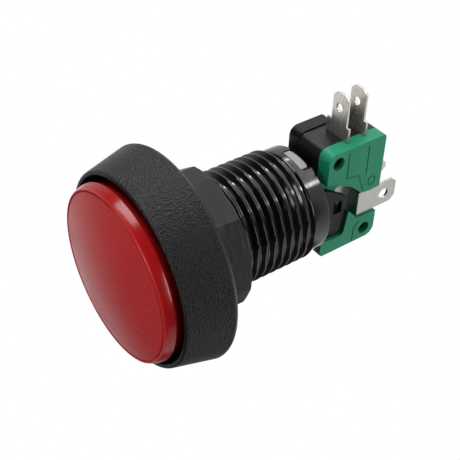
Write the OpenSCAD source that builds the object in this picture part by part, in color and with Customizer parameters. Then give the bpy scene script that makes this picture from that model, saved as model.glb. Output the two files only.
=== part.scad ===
// Round illuminated pushbutton with a panel nut, a push-in lamp holder and a
// side-mounted snap-action switch. The cap faces +Z. The origin is the centre
// of the bezel's seat on the panel, so the barrel hangs below it.

/* [Bezel] */
// Widest diameter of the bezel, just above the panel
bezel_d = 48; // [44:0.5:56]
// How much narrower the bezel is at its front edge, on the diameter
bezel_taper = 4.6; // [1:0.2:6]
// Height of the bezel above the panel
bezel_h = 11; // [10:0.5:14]
// Width of the front rim around the cap
rim_w = 1.05; // [0.6:0.05:2]
// Thickness of the bezel's floor
floor_t = 2; // [1.6:0.1:3]

/* [Barrel] */
// Diameter over the thread crests
thread_d = 26; // [25:0.5:30]
// Depth of the coarse moulded thread
thread_depth = 0.95; // [0.6:0.05:1.1]
// Distance from one thread crest to the next
thread_pitch = 2.2; // [1.8:0.1:3]
// Length of the plain neck that sits in the panel
neck_l = 4.1; // [2:0.1:5]
// Number of thread turns
thread_turns = 11; // [8:1:14]
// Distance from the barrel's axis to the two flats along the thread
flat_x = 12.35; // [12.2:0.05:12.6]
// Length of the plain collar behind the thread
collar_l = 4.4; // [4:0.1:8]
// Diameter of the collar
collar_d = 24.7; // [24.2:0.1:26]
// Bore of the barrel
bore_d = 21.8; // [21:0.1:22]

/* [Panel nut] */
// Size of the nut across its long flats
nut_af = 30.2; // [29:0.2:36]
// Thickness of the nut
nut_h = 9.4; // [5:0.2:12]
// Share of each corner that the short flats cut off
nut_corner_cut = 0.35; // [0.2:0.05:0.6]

/* [Cap] */
// Height of the cap's dome edge above the bezel's rim
cap_proud = 3.2; // [2.6:0.1:4]
// Rise of the dome above its edge
dome_rise = 1.9; // [1:0.1:3]
// Gap between the cap's shoulder and the bezel's rim
cap_gap = 1; // [0.8:0.05:2]
// Inward slope of the shoulder, from its foot to the dome's edge
shoulder_in = 0.95; // [0.5:0.05:1.5]
// Wall of the cap
cap_wall = 1.1; // [0.9:0.1:1.6]
// Travel of the cap when it is pressed
press_travel = 2; // [1.2:0.1:2.2]

/* [Plunger] */
// Wall of the plunger's tube
tube_wall = 1.3; // [1:0.1:1.6]
// Width of each snap leg, as an angle on the barrel
leg_angle = 43; // [40:1:48]
// Width of each hook, as an angle on the barrel
hook_angle = 29; // [26:1:33]
// Turn of the legs from the switch's long side
leg_turn = -6.5; // [-9:0.5:-4]
// Axial length of the hooks
hook_l = 2.25; // [1.6:0.05:2.3]

/* [Return spring] */
// Wire diameter of the return spring
spring_wire = 0.7; // [0.5:0.05:0.8]
// Mean diameter of the return spring
spring_d = 26; // [24.5:0.5:29]
// Turns of the return spring
spring_turns = 4; // [3:0.5:4.5]

/* [Switch] */
// Length of the switch body
sw_l = 27.8; // [27.4:0.1:29]
// Height of the switch body, along the barrel
sw_h = 16.3; // [15.9:0.1:17]
// Thickness of the switch body
sw_t = 10.3; // [10.1:0.1:11]
// Thickness of the cover half
cover_t = 3.5; // [3.3:0.1:3.8]
// Distance of the mounting holes from the nearest edges
hole_edge = 2.8; // [2.6:0.05:3]
// Diameter of the mounting holes
hole_d = 3.1; // [2.9:0.05:3.2]
// Distance from the barrel's end to the switch's front face
sw_gap = 1.7; // [1.6:0.1:2.5]
// Distance from the barrel's axis to the cover's outer face
sw_y = 8.4; // [8.1:0.1:8.8]
// Offset of the switch's middle along its length
sw_x = 1.15; // [0.8:0.05:1.5]
// How far the switch's button stands out at rest
pin_out = 2.35; // [2.3:0.05:2.6]
// Diameter of the switch's button
pin_d = 2; // [1.6:0.1:2.2]

/* [Terminals] */
// Thickness of the terminal blades
blade_t = 0.6; // [0.5:0.05:0.8]
// Width of the two end blades
tab_w = 4.75; // [4:0.05:5.2]
// Length of the end blades outside the switch
tab_out = 10.7; // [9:0.1:13]
// Width of the common blade
com_w = 6.35; // [5:0.05:6.6]
// Length of the common blade outside the switch
com_out = 6; // [4:0.1:10]

/* [Lamp and holder] */
// Diameter of the lamp's bulb
lamp_d = 10; // [9:0.2:11]
// Length of the lamp
lamp_l = 26.8; // [22:0.2:28]
// Thickness of the holder's switch wall
wall_t = 3.2; // [2.4:0.1:3.4]
// Thickness of the holder's retaining arm
arm_t = 1.2; // [1:0.1:1.3]

/* [Hidden] */

play = 0.1;                // clearance between pieces of one body
slide_gap = 0.3;           // clearance around the sliding plunger
eps = 0.01;

thread_r = thread_d / 2;
root_r = thread_r - thread_depth;
nut_bore_r = thread_r + 0.08;
seat_r = nut_af / 2 / cos(30 - 30 * nut_corner_cut) + 0.5;  // inner edge of the panel seat
bore_r = bore_d / 2;
collar_r = collar_d / 2;
thread_end = -neck_l - thread_turns * thread_pitch;
barrel_end = thread_end - collar_l;
bezel_r = bezel_d / 2;
bezel_front_r = bezel_r - bezel_taper / 2;
cup_r = bezel_front_r - rim_w;

tube_r = bore_r - slide_gap;
tube_in_r = tube_r - tube_wall;
flange_z = floor_t + 6;
flange_t = 1.2;
cap_foot_z = bezel_h + cap_proud - 2.6;
dome_z = bezel_h + cap_proud;
shoulder_r = cup_r - cap_gap;
dome_r = shoulder_r - shoulder_in;
skirt_r = shoulder_r - 0.7;
rim_r = skirt_r - cap_wall - play;
disc_t = 1;
disc_z = dome_z - cap_wall - disc_t - 0.6;

sw_z = barrel_end - sw_gap;
pin_x = sw_l / 2 - 6.5;    // switch's button, from the middle of the switch
pin_y = sw_t / 2;
pin_top = sw_z + pin_out;
foot_z = pin_top + 0.05;   // lower end of the plunger's foot, just above the button
hook_z = sw_z + press_travel + play;
leg_top = -17;

hole_a = [sw_l / 2 - hole_edge, hole_edge];
hole_b = [-(sw_l / 2 - hole_edge), hole_edge + 10.3];

nc_h = 6.5;                // depth of the two end blades behind the switch's front face
no_h = 11.5;
tab_mid = 5.4;             // middle of the end blades across the switch
root_y = 2.1;              // wide root of the end blades, across the switch
root_w = 7;
contact_x = sw_l / 2 - 3.6;  // contacts, from the middle of the switch
leaf_y = 4.3;              // edge of the contact blade across the switch
leaf_w = 2.8;
leaf_mid = leaf_y + leaf_w / 2;
contact_r = 1.3;
contact_head = 0.6;
moving_h = nc_h + blade_t + contact_head + 0.02;
moving_t = 1.2;
blade_foil = 0.25;
blade_h = moving_h + (moving_t - blade_foil) / 2;
com_top = -0.4;            // upper edge of the common blade, from the middle of the switch
com_low = com_top - com_w;
pivot_x = com_low + 0.75;  // end of the contact blade, beside the common terminal's post
com_bend_h = 10.6;         // where the common blade bends out through the cover
com_face = 0.5;            // depth of the common blade behind the cover's outer face
arm_x = hole_b[0] + 1.2;   // rear edge of the holder's arm, beside the second peg

plug_r = bore_r - play;
plug_top = barrel_end + 6.2;
lamp_z = barrel_end + 8.7;
socket_top = lamp_z + 5.5;
inner_r = tube_in_r - 0.8;
foot_in_r = 7.9;           // inner end of the plunger's foot
foot_turn = atan2(pin_y - sw_y, pin_x + sw_x);
contact_foil = 0.4;
contact_exit = barrel_end - 0.9;

// Points on an arc, for rounded corners of a profile
function arc(c, r, a0, a1, n = 6) =
    [for (i = [0:n]) c + r * [cos(a0 + (a1 - a0) * i / n), sin(a0 + (a1 - a0) * i / n)]];

// Pie slice of the given angle, centred on the direction turn
module wedge(r, angle, turn, z, h) {
    rotate([0, 0, turn - angle / 2])
        translate([0, 0, z])
            rotate_extrude(angle = angle, $fn = 96)
                square([r, h]);
}

module tube(r_out, r_in, z, h) {
    translate([0, 0, z])
        difference() {
            cylinder(r = r_out, h = h, $fn = 96);
            translate([0, 0, -eps])
                cylinder(r = r_in, h = h + 2 * eps, $fn = 96);
        }
}

// The switch's own frame: x along its length, y from the cover's face into
// its thickness, z = 0 at its front face and negative behind it
module at_switch() {
    translate([sw_x, -sw_y, sw_z])
        children();
}

// A plate parallel to the cover's face, from an outline in (length, -depth)
module plate(y, t) {
    translate([0, y + t, 0])
        rotate([90, 0, 0])
            linear_extrude(t)
                children();
}

// A hole through the thickness of the switch
module cross_hole(at, d, y = -1, t = 20) {
    translate([at[0], y, -at[1]])
        rotate([-90, 0, 0])
            cylinder(d = d, h = t, $fn = 48);
}

// Half section of the bezel and barrel, in (radius, height)
module body_profile() {
    edge = 0.5;
    low = 1.3;
    slope = bezel_taper / 2 / (bezel_h - edge - low);
    crest = 0.3;
    valley = 0.55;
    flank = (thread_pitch - crest - valley) / 2;
    groove = 0.4;
    mid = barrel_end + 2.6;
    polygon(concat(
        [[seat_r, 0], [seat_r, 0.5], [thread_r, 0.5], [thread_r, -neck_l]],
        [for (i = [0:thread_turns - 0.6], p = [[root_r, flank], [root_r, flank + valley],
            [thread_r, thread_pitch - crest], [thread_r, thread_pitch]])
            [p[0], -neck_l - i * thread_pitch - p[1]]],
        [[root_r, thread_end + (thread_pitch - flank) / 4], [collar_r, thread_end],
         [collar_r, barrel_end + 0.3], [collar_r - 0.3, barrel_end],
         [bore_r, barrel_end],
         [bore_r, mid - groove], [bore_r + groove, mid], [bore_r + groove, mid + groove],
         [bore_r, mid + 2 * groove],
         [bore_r, floor_t], [cup_r - 0.8, floor_t], [cup_r, floor_t + 0.8]],
        arc([cup_r + 0.2, bezel_h - 0.2], 0.2, 180, 90, 3),
        arc([bezel_front_r - edge, bezel_h - edge], edge, 90, atan(slope)),
        arc([bezel_r - low, low], low, -8, -90)));
}

module threaded_body() {
    color("#26282a")
    difference() {
        rotate_extrude($fn = 160)
            body_profile();
        // two flats that thin the thread on opposite sides
        for (side = [-1, 1])
            translate([-thread_r, side * flat_x + min(side, 0) * 2, thread_end])
                cube([2 * thread_r, 2, -neck_l - thread_end]);
        // slots for the plunger's hooks, open at the barrel's end
        for (turn = [leg_turn, leg_turn + 180])
            wedge(thread_r + 1, hook_angle + 2, turn, barrel_end - 1,
                  hook_z + hook_l + play - barrel_end + 1);
    }
}

module nut_outline() {
    flat = nut_af / 2;
    half = 30 - 30 * nut_corner_cut;
    r = flat / cos(half);
    polygon([for (i = [0:5], s = [-1, 1]) r * [cos(60 * i + s * half), sin(60 * i + s * half)]]);
}

module panel_nut() {
    chamfer = 0.9;
    face_r = nut_af / 2 + 0.25;
    color("#2a2c2e")
    difference() {
        intersection() {
            translate([0, 0, -nut_h])
                rotate([0, 0, 37.5])
                    linear_extrude(nut_h)
                        nut_outline();
            rotate_extrude($fn = 128)
                polygon([[0, 0], [face_r + 0.2, 0], [face_r + 1.4, -chamfer],
                         [face_r + 1.4, -nut_h + chamfer], [face_r, -nut_h], [0, -nut_h]]);
        }
        rotate_extrude($fn = 128)
            polygon([[0, 1], [nut_bore_r + 1, 1], [nut_bore_r, -0.3],
                     [nut_bore_r, -nut_h + 0.6], [nut_bore_r + 1, -nut_h - 0.4],
                     [0, -nut_h - 0.4]]);
    }
}

// Region under a shallow dome that meets the axis at top and the edge at (r, z)
module dome_area(r, z, rise, wall) {
    big = (r * r + rise * rise) / (2 * rise);
    intersection() {
        difference() {
            translate([0, z + rise - big])
                circle(r = big, $fn = 360);
            translate([0, z + rise - big])
                circle(r = big - wall, $fn = 360);
        }
        translate([0, z - wall - 0.5])
            square([r, rise + wall + 1]);
    }
}

module lens_cap() {
    lip = 0.35;
    color("#b02428")
    union() {
        rotate_extrude($fn = 160)
            dome_area(dome_r - lip, dome_z, dome_rise, cap_wall);
        rotate_extrude($fn = 160)
            polygon(concat(
                [[dome_r - lip - 1, dome_z - 0.3 - cap_wall], [dome_r - lip - 1, dome_z - 0.45],
                 [dome_r - lip, dome_z - 0.3], [dome_r - lip / 2, dome_z - 0.2]],
                arc([dome_r - 0.05, dome_z - 0.2], 0.25, 120, 20, 4),
                [[shoulder_r - 0.15, cap_foot_z + 0.9]],
                arc([shoulder_r - 0.4, cap_foot_z + 0.4], 0.4, 20, -90, 5),
                [[skirt_r, cap_foot_z], [skirt_r, flange_z], [skirt_r - cap_wall, flange_z],
                 [skirt_r - cap_wall, dome_z - 0.9 - cap_wall]]));
    }
}

module diffuser_disc() {
    color("#eef0ee")
    translate([0, 0, disc_z])
        cylinder(r = rim_r - play, h = disc_t, $fn = 128);
}

// Outline of a hook seen from outside, with its rear corners cut off
module hook_outline() {
    half = collar_r * sin(hook_angle / 2);
    cut = 0.75;
    polygon([[-half, hook_z + hook_l + 1], [-half, hook_z + cut], [cut - half, hook_z],
             [half - cut, hook_z], [half, hook_z + cut], [half, hook_z + hook_l + 1]]);
}

module plunger() {
    color("#e9ebe9")
    union() {
        difference() {
            // flange and raised rim that carry the cap and the disc, on a tube
            rotate_extrude($fn = 128)
                polygon([[tube_in_r, foot_z], [tube_r, foot_z], [tube_r, flange_z],
                         [rim_r, flange_z], [rim_r, disc_z - play], [rim_r - 1, disc_z - play],
                         [rim_r - 1, flange_z + 2.2], [tube_r + 1, flange_z + flange_t],
                         [tube_in_r, flange_z + flange_t]]);
            // the tube's end is left as two snap legs
            for (turn = [leg_turn - 90, leg_turn + 90])
                wedge(tube_r + 1, 180 - leg_angle, turn, foot_z - 1, leg_top - foot_z + 1);
        }
        // hooks with a lead-in, seated on the front edge of their slots
        for (turn = [leg_turn, leg_turn + 180])
            intersection() {
                rotate_extrude($fn = 128)
                    polygon([[tube_r - 0.2, hook_z], [collar_r - 0.5, hook_z],
                             [collar_r - play, hook_z + 0.6], [collar_r - play, hook_z + hook_l],
                             [tube_r - 0.2, hook_z + hook_l]]);
                wedge(thread_r, hook_angle, turn, hook_z - 1, hook_l + 2);
                rotate([90, 0, turn + 90])
                    linear_extrude(thread_r)
                        hook_outline();
            }
        // foot that reaches inwards over the switch's button
        intersection() {
            tube(tube_r - 0.4, foot_in_r, foot_z, 4);
            wedge(tube_r + 1, 13, foot_turn, foot_z - 1, 6);
        }
    }
}

// Wire of a helical compression spring, as one ring of points after another
module helix_wire(r, wire, z0, z1, turns) {
    sides = 8;
    steps = round(turns * 18);
    wire_r = wire / 2;
    pts = [for (i = [0:steps], k = [0:sides - 1])
        let (a = 360 * turns * i / steps, z = z0 + wire_r + (z1 - z0 - wire) * i / steps,
             q = r + wire_r * cos(360 * k / sides))
        [q * cos(a), q * sin(a), z + wire_r * sin(360 * k / sides)]];
    body = [for (i = [0:steps - 1], k = [0:sides - 1])
        let (n = (k + 1) % sides, b = i * sides)
        [b + k, b + n, b + sides + n, b + sides + k]];
    caps = [[for (k = [0:sides - 1]) sides - 1 - k], [for (k = [0:sides - 1]) steps * sides + k]];
    polyhedron(points = pts, faces = concat(body, caps), convexity = 10);
}

module return_spring() {
    color("#c9ccd0")
    helix_wire(spring_d / 2, spring_wire, floor_t + 0.02, flange_z - 0.02, spring_turns);
}

// Outline of the holder's wall behind the switch, in (length, -depth)
module wall_outline() {
    top = sw_l / 2 + 0.35;
    low = -sw_l / 2 + 0.4;
    tail = sw_h - 0.4;
    union() {
        polygon(concat(
            arc([top - 2.1, -2.1], 2.1, 90, 0, 8),
            arc([top - 1.2, -8.8], 1.2, 0, -70, 4),
            arc([low + 6.4, -tail + 1], 1, -70, -90, 3),
            arc([low + 1.5, -tail + 1.5], 1.5, -90, -180, 4),
            arc([low + 3, -3], 3, 180, 90, 8)));
    }
}

// Outline of the retaining arm that reaches over the switch's cover
module arm_outline() {
    polygon(concat(
        [[arm_x + 0.5, 2.6], [arm_x + 0.05, -4.6], [arm_x, -5.6], [arm_x + 0.3, -6.1],
         [arm_x + 1, -6.4], [com_low - 0.15, -6.7], [com_low + 2.5, -7.05]],
        arc([com_top + 0.1, -5.8], 1.25, -90, -20, 5),
        [[com_top + 4.4, -1.4], [com_top + 4.7, 0.2], [com_top + 4.7, 2.6]]));
}

module socket_block() {
    difference() {
        translate([-6.6, -4.2, plug_top - 1])
            cube([13.2, 8.4, socket_top - plug_top + 1]);
        // slot for the lamp's wedge and side pockets for its contacts
        translate([-5, -1.35, lamp_z])
            cube([10, 2.7, 20]);
        for (side = [-1, 1])
            translate([side * 3 - 1.6, -1.35, plug_top - 2])
                cube([3.2, 3.2, 30]);
    }
}

module lamp_holder() {
    peg_l = sw_t - 1.2;
    win = [2.4, 3.2];
    color("#1d1f21")
    difference() {
        union() {
            translate([0, 0, barrel_end + 0.4])
                cylinder(r = plug_r, h = plug_top - barrel_end - 0.4, $fn = 96);
            // snap bead that seats in the barrel's groove
            rotate_extrude($fn = 96)
                polygon([[plug_r - 1, barrel_end + 2.35], [plug_r, barrel_end + 2.35],
                         [plug_r + 0.3, barrel_end + 2.7], [plug_r + 0.3, barrel_end + 2.95],
                         [plug_r, barrel_end + 3.25], [plug_r - 1, barrel_end + 3.25]]);
            socket_block();
            // neck that joins the plug to the switch wall
            translate([-7.6, sw_t - sw_y + play, sw_z - 1])
                cube([15.2, wall_t, barrel_end + 1.4 - sw_z + 1]);
            at_switch() {
                plate(sw_t + play, wall_t)
                    wall_outline();
                for (h = [hole_a, hole_b])
                    cross_hole(h, hole_d - 2 * play, sw_t - peg_l, peg_l + 1);
            }
            // retaining arm, inside the barrel only as wide as the bore
            intersection() {
                at_switch()
                    plate(0.7, arm_t)
                        arm_outline();
                translate([0, 0, sw_z - 20])
                    cylinder(r = 30, h = sw_gap + 20 - 0.3);
            }
            intersection() {
                translate([sw_x + arm_x + 0.5, -sw_y + 0.7, barrel_end - 1])
                    cube([com_top + 4.2 - arm_x, arm_t, 3]);
                cylinder(r = plug_r, h = 200, center = true, $fn = 96);
            }
        }
        // window in the arm
        at_switch()
            plate(-1, 2 + arm_t)
                translate([com_top - 3.1, -5.8])
                    square([win[1], win[0]]);
        // ways for the plunger's legs and foot
        for (turn = [leg_turn, leg_turn + 180])
            difference() {
                wedge(plug_r + 1, leg_angle + 8, turn, barrel_end - 0.5, 12);
                translate([0, 0, barrel_end - 1])
                    cylinder(r = inner_r, h = 14, $fn = 96);
            }
        difference() {
            wedge(plug_r + 1, 30, foot_turn, barrel_end - 0.5, 12);
            translate([0, 0, barrel_end - 1])
                cylinder(r = foot_in_r - 0.4, h = 14, $fn = 96);
        }
        // slots for the lamp's contacts, led out behind the switch wall
        for (side = [-1, 1]) {
            translate([side * 3 - 1.6, -1.35, barrel_end - 1])
                cube([3.2, 3.2, 12]);
            translate([side * 3 - 1.6, 1.1, contact_exit - play])
                cube([3.2, 6, contact_foil + 2 * play]);
        }
    }
}

module wedge_lamp() {
    color("#f2f4f2")
    union() {
        // flat glass foot
        translate([-4.75, -1.2, lamp_z + 0.1])
            cube([9.5, 2.4, 5.8]);
        // bulb, turned
        rotate_extrude($fn = 64)
            polygon(concat(
                [[0, lamp_z + 5.6], [2.8, lamp_z + 5.6], [3.6, lamp_z + 6.6],
                 [lamp_d / 2, lamp_z + 9]],
                arc([0, lamp_z + lamp_l - lamp_d / 2], lamp_d / 2, 0, 90, 10)));
    }
}

// Spring contact beside the lamp's foot, led out to a blade behind the switch
// wall; shift moves the blade sideways and tip is its end behind the switch
module lamp_contact(side, shift, tip) {
    w = 2.8;
    blade_y = sw_t - sw_y + play + wall_t + 0.02;
    low = sw_z - 2.4;
    translate([side * 3, 0, 0])
        union() {
            // spring leaf against the lamp's foot
            translate([-w / 2, 1.25, contact_exit])
                cube([w, contact_foil, lamp_z + 4 - contact_exit]);
            // cross strip through the holder's neck
            translate([-w / 2, 1.25, contact_exit])
                cube([w, blade_y - 1.25 + contact_foil, contact_foil]);
            translate([0, blade_y + contact_foil, 0])
                rotate([90, 0, 0])
                    linear_extrude(contact_foil)
                        polygon([[w / 2, contact_exit + contact_foil],
                                 [-w / 2, contact_exit + contact_foil], [-w / 2, low],
                                 [shift - w / 2, low], [shift - w / 2, tip + 0.8],
                                 [shift - w / 2 + 0.8, tip], [shift + w / 2 - 0.8, tip],
                                 [shift + w / 2, tip + 0.8], [shift + w / 2, low - w],
                                 [w / 2, low - w]]);
        }
}

module lamp_contact_front() {
    color("#c8b48a")
    lamp_contact(1, 0.01, sw_z - sw_h - 8);
}

module lamp_contact_rear() {
    color("#c8b48a")
    lamp_contact(-1, -4.9, sw_z - sw_h - 16.4);
}

// Outline of the switch body, with the front end's round corner
module switch_outline() {
    x = sw_l / 2;
    polygon(concat(
        arc([x - 2, -2], 2, 90, 0, 6),
        arc([x - 0.9, -sw_h + 0.9], 0.9, 0, -90, 4),
        arc([-x + 2.4, -sw_h + 2.4], 2.4, -90, -180, 6),
        arc([-x + 1, -1], 1, 180, 90, 4)));
}

// Edge of the cover's cut-out on both sides of the common blade
function blade_way() =
    [[com_top + 2.25, -8.8], [com_top + 0.7, -10.5], [com_top + 0.3, -11.4],
     [com_top + 0.1, -13.5], [com_top + 0.4, -sw_h - 1],
     [com_low - 0.55, -sw_h - 1], [com_low - 0.35, -12], [com_low - 0.15, -10.2],
     [com_low + 1.25, -9.2], [com_low + 2.95, -7.5]];

// Region of the cover that is cut away over the arm and the common blade
module cover_notch() {
    polygon(concat(
        [[6.1, 1], [6.1, -1.2], [5, -3.7], [3.2, -7.2]], blade_way(),
        [[com_low - 0.2, -7], [arm_x + 0.9, -6.75], [arm_x + 0.1, -6.4], [arm_x - 0.3, -5.7],
         [arm_x - 0.2, -4.6], [arm_x + 0.3, 1]]));
}

// Part of that notch that goes right through the cover
module through_notch() {
    polygon(concat(
        [[3.2, -7.2]], blade_way(),
        [[com_low + 0.55, -6.9], [com_low + 0.55, -3.4], [com_top, -3.4],
         [com_top + 3, -4.6]]));
}

module end_slot(h, y, t) {
    translate([sw_l / 2 - 4, y, -h - blade_t - 0.05])
        cube([6, t, blade_t + 0.1]);
}

module switch_cover() {
    floor_y = 0.7 + arm_t + 0.1;
    color("#2f9c78")
    at_switch()
        difference() {
            plate(0, cover_t)
                switch_outline();
            plate(-1, floor_y + 1)
                cover_notch();
            plate(-1, cover_t + 2)
                through_notch();
            for (h = [hole_a, hole_b])
                cross_hole(h, hole_d);
            for (h = [nc_h, no_h])
                end_slot(h, root_y - 0.05, cover_t);
        }
}

module switch_cavity() {
    wall = 1.5;
    difference() {
        translate([-sw_l / 2 + wall, cover_t, -sw_h + wall])
            cube([sw_l - 2 * wall, sw_t - cover_t - 1.3, sw_h - 2 * wall]);
        for (h = [hole_a, hole_b])
            cross_hole(h, hole_d + 1.4);
    }
}

module switch_base() {
    color("#202224")
    at_switch()
        difference() {
            plate(cover_t + 0.02, sw_t - cover_t - 0.02)
                switch_outline();
            switch_cavity();
            for (h = [hole_a, hole_b])
                cross_hole(h, hole_d);
            for (h = [nc_h, no_h])
                end_slot(h, cover_t - 1, root_y + root_w + 1.05 - cover_t);
            // way for the button
            translate([pin_x, pin_y, -3])
                cylinder(d = pin_d + 2 * 0.08, h = 10, $fn = 48);
            // seat of the common terminal's plate
            translate([com_low - 0.2, cover_t - 1, -com_bend_h - blade_t - 0.1])
                cube([3.3 - com_low, 1 + blade_t + 0.15, com_bend_h - 1.8]);
        }
}

module switch_button() {
    color("#1c1c1e")
    at_switch()
        translate([pin_x, pin_y, 0])
            rotate_extrude($fn = 48)
                polygon([[0, -blade_h + 0.58], [0.5, -blade_h + 0.58], [pin_d / 2, -blade_h + 1.1],
                         [pin_d / 2, -3.2], [pin_d / 2 + 0.3, -3.2], [pin_d / 2 + 0.3, -1.6],
                         [pin_d / 2, -1.6], [pin_d / 2, pin_out - 0.5],
                         [pin_d / 2 - 0.4, pin_out - 0.08], [0, pin_out]]);
}

module contact_blade() {
    color("#c98f5a")
    at_switch()
        difference() {
            translate([pivot_x, leaf_y, -blade_h - blade_foil])
                cube([contact_x + 1.4 - pivot_x, leaf_w, blade_foil]);
            // cut-outs beside the snap tongue
            for (s = [0.6, leaf_w - 1])
                translate([pivot_x + 2, leaf_y + s, -blade_h - 1])
                    cube([8, 0.4, 2]);
            translate([contact_x, leaf_mid, -blade_h - 1])
                cylinder(d = 1.2, h = 2, $fn = 32);
        }
}

module moving_contact() {
    color("#d9dadc")
    at_switch()
        translate([contact_x, leaf_mid, 0])
            rotate_extrude($fn = 48) {
                translate([0, -moving_h - moving_t])
                    square([contact_r - 0.1, (moving_t - blade_foil) / 2]);
                translate([0, -blade_h - blade_foil - eps])
                    square([0.6, blade_foil + 2 * eps]);
                translate([0, -blade_h])
                    square([contact_r - 0.1, (moving_t - blade_foil) / 2]);
            }
}

module common_terminal() {
    inner_y = cover_t + 0.05;
    tip = sw_h + com_out;
    cut = 1.3;
    color("#dcd8d4")
    at_switch()
        union() {
            // plate that lies between cover and base
            plate(inner_y, blade_t)
                polygon([[2.9, -2.6], [2.9, -com_bend_h - blade_t],
                         [com_low, -com_bend_h - blade_t], [com_low, -2.6]]);
            // step that brings the blade out through the cover
            translate([com_low, com_face, -com_bend_h - blade_t])
                cube([com_w, inner_y + blade_t - com_face, blade_t]);
            difference() {
                plate(com_face, blade_t)
                    polygon([[com_top, -com_bend_h], [com_top, -tip + cut],
                             [com_top - cut, -tip], [com_low + cut, -tip],
                             [com_low, -tip + cut], [com_low, -com_bend_h]]);
                cross_hole([com_top - com_w / 2 - 0.2, tip - 3.7], 2.7);
            }
            // post that carries the end of the contact blade
            translate([pivot_x - 0.02 - blade_t, inner_y, -com_bend_h - blade_t])
                cube([blade_t, 4, com_bend_h + blade_t - 8]);
        }
}

// Blade out of the switch's end, with a wide root, a chamfered tip and a hole
module end_terminal(h) {
    x0 = contact_x - 1.4;
    x_root = sw_l / 2 + 3.4;
    x_tip = sw_l / 2 + tab_out;
    y0 = tab_mid - tab_w / 2;
    cut = 1.2;
    color("#d4d2cc")
    at_switch()
        translate([0, 0, -h - blade_t])
            difference() {
                linear_extrude(blade_t)
                    polygon([[x0, cover_t + 0.1], [sw_l / 2 - 3.9, cover_t + 0.1],
                             [sw_l / 2 - 3.9, root_y], [x_root, root_y], [x_root, y0],
                             [x_tip - cut, y0], [x_tip, y0 + cut], [x_tip, y0 + tab_w - cut],
                             [x_tip - cut, y0 + tab_w], [x_root, y0 + tab_w],
                             [x_root, root_y + root_w], [sw_l / 2 - 3.9, root_y + root_w],
                             [sw_l / 2 - 3.9, 8], [x0, 8]]);
                translate([x_tip - 3.6, tab_mid + 0.25, -1])
                    cylinder(d = 1.9, h = 3, $fn = 48);
            }
}

module normally_closed_terminal() {
    end_terminal(nc_h);
}

module normally_open_terminal() {
    end_terminal(no_h);
}

module fixed_contact(h) {
    color("#dfe0e2")
    at_switch()
        translate([contact_x, leaf_mid, -h])
            cylinder(r = contact_r, h = contact_head, $fn = 48);
}

module normally_closed_contact() {
    fixed_contact(nc_h + blade_t + contact_head);
}

module normally_open_contact() {
    fixed_contact(no_h);
}

threaded_body();
panel_nut();
lens_cap();
diffuser_disc();
plunger();
return_spring();
lamp_holder();
wedge_lamp();
lamp_contact_front();
lamp_contact_rear();
switch_base();
switch_cover();
switch_button();
contact_blade();
moving_contact();
common_terminal();
normally_closed_terminal();
normally_open_terminal();
normally_closed_contact();
normally_open_contact();
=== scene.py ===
import math
import bpy
from mathutils import Matrix, Vector


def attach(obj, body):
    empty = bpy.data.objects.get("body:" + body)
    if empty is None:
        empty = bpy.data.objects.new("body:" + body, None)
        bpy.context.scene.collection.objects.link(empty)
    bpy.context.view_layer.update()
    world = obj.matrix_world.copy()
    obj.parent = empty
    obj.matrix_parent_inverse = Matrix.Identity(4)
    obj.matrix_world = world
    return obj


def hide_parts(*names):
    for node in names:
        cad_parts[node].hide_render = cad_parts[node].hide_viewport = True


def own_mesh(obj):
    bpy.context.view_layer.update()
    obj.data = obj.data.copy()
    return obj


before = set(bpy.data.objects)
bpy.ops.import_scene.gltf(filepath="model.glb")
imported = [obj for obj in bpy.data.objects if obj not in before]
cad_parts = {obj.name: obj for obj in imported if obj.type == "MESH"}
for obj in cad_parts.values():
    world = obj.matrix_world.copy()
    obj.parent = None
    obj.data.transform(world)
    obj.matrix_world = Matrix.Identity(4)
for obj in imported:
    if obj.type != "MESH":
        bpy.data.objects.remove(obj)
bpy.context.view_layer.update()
mm = 0.001
fullTurn = math.radians(360)
mergeDistance = 0.000002
print("frame loaded")


# Small helpers for selecting, cutting and finishing pieces

def deselectAll():
    if bpy.context.object and bpy.context.object.mode != "OBJECT":
        bpy.ops.object.mode_set(mode="OBJECT")
    bpy.ops.object.select_all(action="DESELECT")


def pick(obj):
    deselectAll()
    obj.hide_set(False)
    obj.select_set(True)
    bpy.context.view_layer.objects.active = obj


def editAll(obj):
    # edit mode, with the whole mesh selected
    pick(obj)
    bpy.ops.object.mode_set(mode="EDIT")
    bpy.ops.mesh.select_all(action="SELECT")


def leaveEdit():
    bpy.ops.object.mode_set(mode="OBJECT")


def applyAll(obj):
    pick(obj)
    for name in [m.name for m in obj.modifiers]:
        bpy.ops.object.modifier_apply(modifier=name)


def cleanNormals(obj):
    editAll(obj)
    bpy.ops.mesh.remove_doubles(threshold=mergeDistance)
    bpy.ops.mesh.normals_make_consistent(inside=False)
    leaveEdit()


def smooth(obj, angle):
    pick(obj)
    bpy.ops.object.shade_smooth_by_angle(angle=math.radians(angle))


def flatNormals(obj, angle=40):
    # flat faces keep their own normals, and only the edge rounds shade smoothly
    smooth(obj, angle)
    flat = obj.modifiers.new("flatFaces", "WEIGHTED_NORMAL")
    flat.keep_sharp = True
    applyAll(obj)


def softEdges(obj, width, segments, angle=32, dissolve=2):
    # flat faces are made whole again, then every sharp edge gets a small round
    editAll(obj)
    bpy.ops.mesh.dissolve_limited(angle_limit=math.radians(dissolve))
    leaveEdit()
    bevel = obj.modifiers.new("edges", "BEVEL")
    bevel.width = width
    bevel.segments = segments
    bevel.limit_method = "ANGLE"
    bevel.angle_limit = math.radians(angle)
    bevel.use_clamp_overlap = True
    applyAll(obj)
    flatNormals(obj)


def addMesh(name, verts, edges, faces=()):
    mesh = bpy.data.meshes.new(name)
    mesh.from_pydata(verts, edges, faces)
    obj = bpy.data.objects.new(name, mesh)
    bpy.context.scene.collection.objects.link(obj)
    return obj


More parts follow.
